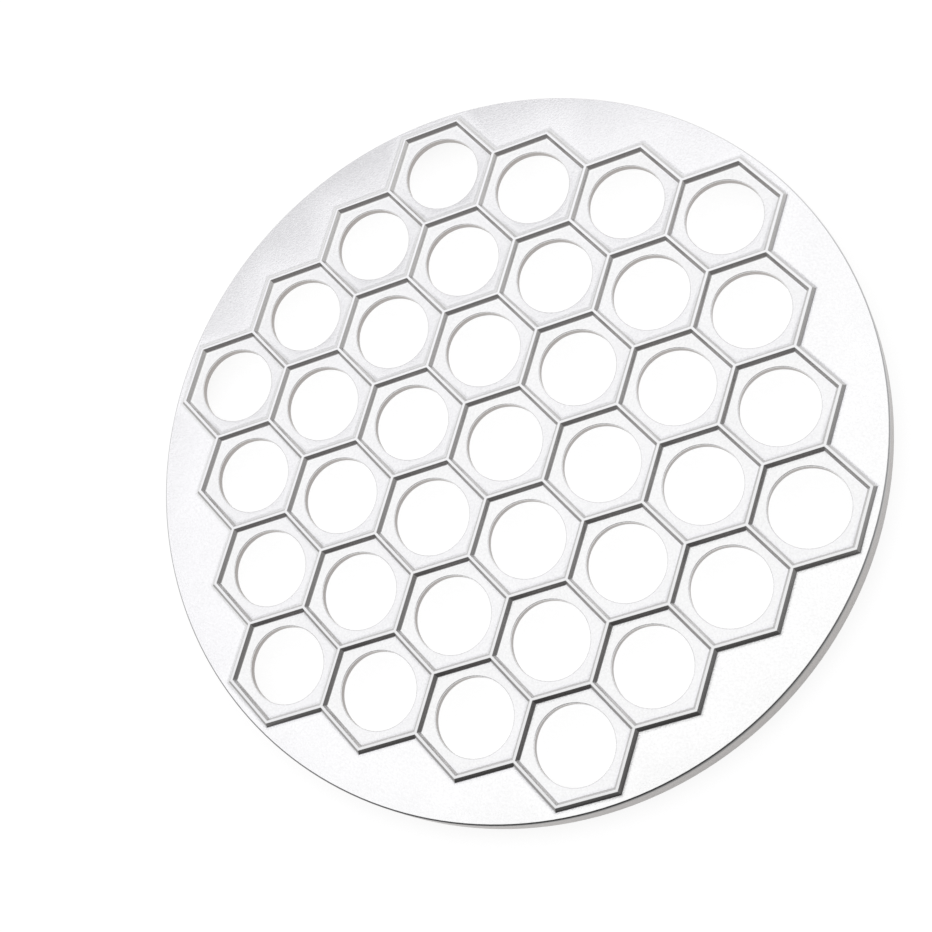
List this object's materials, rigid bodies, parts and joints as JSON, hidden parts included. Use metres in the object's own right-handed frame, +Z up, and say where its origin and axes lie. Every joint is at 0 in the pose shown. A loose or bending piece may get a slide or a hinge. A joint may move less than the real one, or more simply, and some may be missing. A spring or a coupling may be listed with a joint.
{
  "type": "dumpling mold",
  "caption": "Round cast aluminium dumpling mold: a plate of ribbed hexagonal cells with round holes, inside a down-turned skirt, for cutting and sealing filled dough.",
  "frame": {"origin": "middle of the skirt's foot, on the surface that the mold rests on", "axes": "+Z up through the plate, on the side of the cutting ribs; the rows of cells run along X"},
  "size_m": [0.2452, 0.2452, 0.011],
  "materials": {
    "cast_aluminium": "satin, as cast"
  },
  "bodies": {
    "root": {"mold_casting": "cast_aluminium"}
  },
  "joints": []
}
